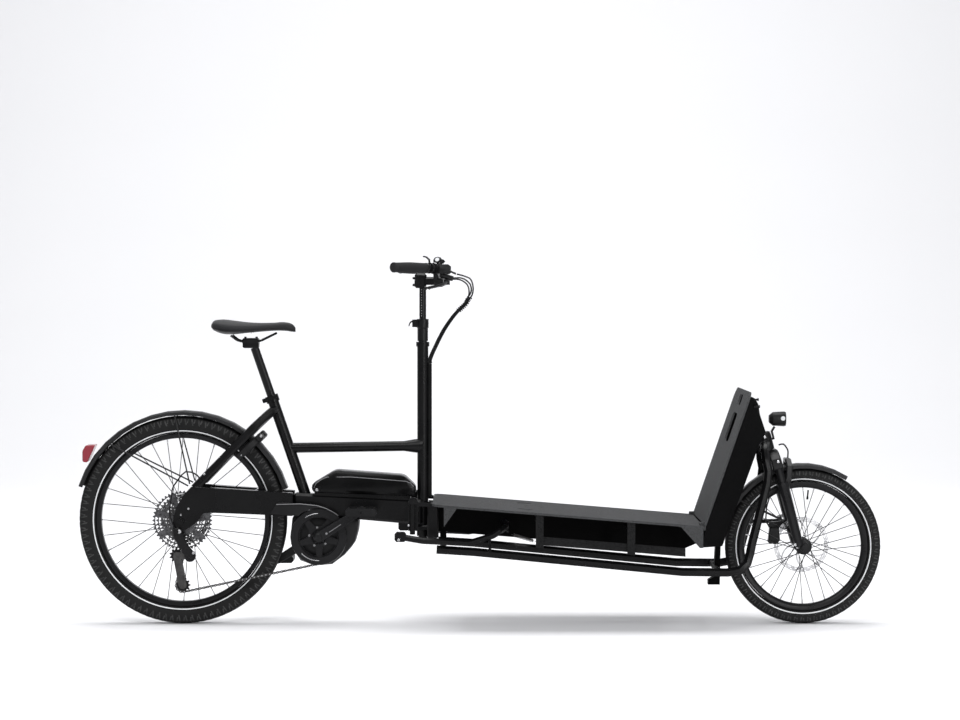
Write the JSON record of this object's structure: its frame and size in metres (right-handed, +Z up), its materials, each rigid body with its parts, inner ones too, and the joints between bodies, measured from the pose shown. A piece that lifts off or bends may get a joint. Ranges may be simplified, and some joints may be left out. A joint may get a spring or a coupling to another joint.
{
  "type": "cargo bike",
  "caption": "Electric front-loading cargo bike: a load deck with a slotted front wall between the rider and the small front wheel, steered by a long rod under the deck.",
  "frame": {"origin": "on the ground, halfway between the front and rear ends of the tyres and in the wheels' middle plane", "axes": "+X towards the front wheel, +Y towards the rider's left, +Z up"},
  "size_m": [2.573, 0.688, 1.178],
  "materials": {
    "frame_paint": "matte",
    "black_alloy": "matte",
    "black_plastic": "matte",
    "deck_coat": "gritty",
    "wall_coat": "matte",
    "tyre_rubber": "matte",
    "grip_rubber": "matte",
    "saddle_cover": "satin",
    "bright_steel": "satin",
    "dark_steel": "satin",
    "grey_alloy": "satin",
    "red_lens": "gloss"
  },
  "bodies": {
    "frame": {"chain": "dark_steel", "chain_cover": "black_plastic", "chainstay_left": "frame_paint", "chainstay_right": "frame_paint", "seatstay_left": "frame_paint", "seatstay_right": "frame_paint", "seat_tube": "frame_paint", "top_tube": "frame_paint", "main_beam": "frame_paint", "motor": "black_plastic", "derailleur": "grey_alloy", "rear_mudguard": "black_plastic", "rear_light": "red_lens", "lock_body": "black_plastic", "mast_tube": "frame_paint", "deck_plate": "deck_coat", "deck_spine": "frame_paint", "deck_rail_left": "deck_coat", "deck_rail_right": "deck_coat", "lower_rail_left": "frame_paint", "lower_rail_right": "frame_paint", "front_wall": "wall_coat", "cheek_left": "wall_coat", "cheek_right": "wall_coat", "head_tube": "frame_paint", "stand_spring": "bright_steel"},
    "fork": {"fork_crown": "black_alloy"},
    "lowers": {"fork_lowers": "black_alloy", "front_mudguard": "black_plastic"},
    "front_wheel_set": {"front_wheel": "black_alloy", "front_tyre": "tyre_rubber"},
    "rear_wheel_set": {"rear_wheel": "black_alloy", "rear_tyre": "tyre_rubber"},
    "cranks": {"crank_right": "black_alloy", "crank_left": "black_alloy"},
    "cogs": {"cassette": "dark_steel"},
    "pedal_r": {"pedal_right": "black_plastic"},
    "pedal_l": {"pedal_left": "black_plastic"},
    "cage": {"derailleur_cage": "dark_steel"},
    "guide": {"guide_pulley": "black_plastic"},
    "tension": {"tension_pulley": "black_plastic"},
    "stand_frame": {"stand": "frame_paint"},
    "seat": {"seatpost": "black_alloy", "saddle": "saddle_cover"},
    "seat_lever": {"seat_clamp_lever": "grey_alloy"},
    "column": {"steering_column": "black_alloy"},
    "bars": {"upper_post": "grey_alloy", "handlebar": "black_alloy", "grip_left": "grip_rubber", "grip_right": "grip_rubber", "hoses": "black_plastic"},
    "height_lever": {"clamp_lever": "grey_alloy"},
    "brake_right": {"brake_lever_right": "grey_alloy"},
    "brake_left": {"brake_lever_left": "grey_alloy"},
    "shifter": {"shift_lever": "black_plastic"},
    "rod_end": {"tie_rod_end": "bright_steel"},
    "rod": {"tie_rod": "black_alloy"},
    "shackle": {"lock_shackle": "bright_steel"},
    "battery_pack": {"battery": "black_plastic"},
    "lamp": {"headlight": "black_plastic"}
  },
  "joints": [
    {"name": "fork_steer", "type": "hinge", "parent": "frame", "child": "fork", "pos_m": [0.9125, 0, 0.6046], "axis": [-0.2588, 0, 0.9659], "range_deg": [-22, 22]},
    {"name": "fork_travel", "type": "slide", "parent": "fork", "child": "lowers", "axis": [-0.2588, 0, 0.9659], "range_m": [0, 0.024], "stiffness_N_per_m": 20000},
    {"name": "front_wheel_spin", "type": "hinge", "parent": "lowers", "child": "front_wheel_set", "pos_m": [1.0365, 0, 0.25], "axis": [0, 1, 0], "continuous": true},
    {"name": "rear_wheel_spin", "type": "hinge", "parent": "frame", "child": "rear_wheel_set", "pos_m": [-0.9525, 0, 0.334], "axis": [0, 1, 0], "continuous": true},
    {"name": "crank_spin", "type": "hinge", "parent": "frame", "child": "cranks", "pos_m": [-0.515, 0, 0.283], "axis": [0, 1, 0], "continuous": true, "deforming": ["chain"]},
    {"name": "cassette_spin", "type": "hinge", "parent": "frame", "child": "cogs", "pos_m": [-0.9525, 0, 0.334], "axis": [0, 1, 0], "continuous": true},
    {"name": "pedal_right_spin", "type": "hinge", "parent": "cranks", "child": "pedal_r", "pos_m": [-0.37507, -0.13, 0.37044], "axis": [0, 1, 0], "continuous": true},
    {"name": "pedal_left_spin", "type": "hinge", "parent": "cranks", "child": "pedal_l", "pos_m": [-0.65493, 0.13, 0.19556], "axis": [0, 1, 0], "continuous": true},
    {"name": "cage_pivot", "type": "hinge", "parent": "frame", "child": "cage", "pos_m": [-0.923, 0, 0.2236], "axis": [0, 1, 0], "range_deg": [-8, 18], "stiffness_Nm_per_rad": 2},
    {"name": "guide_pulley_spin", "type": "hinge", "parent": "cage", "child": "guide", "pos_m": [-0.9678, 0, 0.2236], "axis": [0, 1, 0], "continuous": true},
    {"name": "tension_pulley_spin", "type": "hinge", "parent": "cage", "child": "tension", "pos_m": [-0.9494, 0, 0.1287], "axis": [0, 1, 0], "continuous": true},
    {"name": "stand_pivot", "type": "hinge", "parent": "frame", "child": "stand_frame", "pos_m": [0.08, 0, 0.326], "axis": [0, -1, 0], "range_deg": [0, 100], "deforming": ["stand_spring"]},
    {"name": "seat_height", "type": "slide", "parent": "frame", "child": "seat", "axis": [-0.3248, 0, 0.9458], "range_m": [-0.1, 0.05]},
    {"name": "seat_clamp_lever_pivot", "type": "hinge", "parent": "frame", "child": "seat_lever", "pos_m": [-0.6911, -0.0165, 0.7162], "axis": [0.3248, 0, -0.9458], "range_deg": [0, 140]},
    {"name": "column_steer", "type": "hinge", "parent": "frame", "child": "column", "pos_m": [-0.1835, 0, 0.6], "axis": [0, 0, 1], "range_deg": [-22, 22], "deforming": ["hoses"]},
    {"name": "bar_height", "type": "slide", "parent": "column", "child": "bars", "axis": [0, 0, 1], "range_m": [-0.08, 0.05], "deforming": ["hoses"]},
    {"name": "clamp_lever_pivot", "type": "hinge", "parent": "column", "child": "height_lever", "pos_m": [-0.212, -0.013, 0.964], "axis": [0, -1, 0], "range_deg": [0, 90]},
    {"name": "brake_lever_right_pull", "type": "hinge", "parent": "bars", "child": "brake_right", "pos_m": [-0.106, -0.166, 1.096], "axis": [0, 0, -1], "range_deg": [0, 18], "stiffness_Nm_per_rad": 1.5},
    {"name": "brake_lever_left_pull", "type": "hinge", "parent": "bars", "child": "brake_left", "pos_m": [-0.106, 0.166, 1.096], "axis": [0, 0, 1], "range_deg": [0, 18], "stiffness_Nm_per_rad": 1.5},
    {"name": "shift_lever_push", "type": "hinge", "parent": "bars", "child": "shifter", "pos_m": [-0.157, -0.2, 1.1398], "axis": [-0.5217, -0.8529, 0.0201], "range_deg": [0, 25], "stiffness_Nm_per_rad": 0.5},
    {"name": "rod_end_pivot", "type": "hinge", "parent": "column", "child": "rod_end", "pos_m": [-0.1835, 0.164, 0.284], "axis": [0, 0, 1], "range_deg": [-22, 22]},
    {"name": "rod_lift", "type": "hinge", "parent": "rod_end", "child": "rod", "pos_m": [-0.15, 0.164, 0.284], "axis": [0, 1, 0], "range_deg": [-1, 1]},
    {"name": "shackle_turn", "type": "hinge", "parent": "frame", "child": "shackle", "pos_m": [-0.7405, 0, 0.566], "axis": [0.6757, 0, -0.7372], "range_deg": [0, 115]},
    {"name": "battery_lift", "type": "slide", "parent": "frame", "child": "battery_pack", "axis": [0, 0, 1], "range_m": [0, 0.045]},
    {"name": "headlight_tilt", "type": "hinge", "parent": "frame", "child": "lamp", "pos_m": [0.945, 0, 0.64], "axis": [0, 1, 0], "range_deg": [-10, 10]}
  ],
  "couplings": [
    {"joint": "column_steer", "follows": "fork_steer", "ratio": 1},
    {"joint": "rod_end_pivot", "follows": "fork_steer", "ratio": -1},
    {"joint": "rod_lift", "follows": "fork_steer", "ratio": 0.0333},
    {"joint": "cassette_spin", "follows": "crank_spin", "ratio": 2},
    {"joint": "guide_pulley_spin", "follows": "crank_spin", "ratio": -3.8182},
    {"joint": "tension_pulley_spin", "follows": "crank_spin", "ratio": 3.8182}
  ]
}
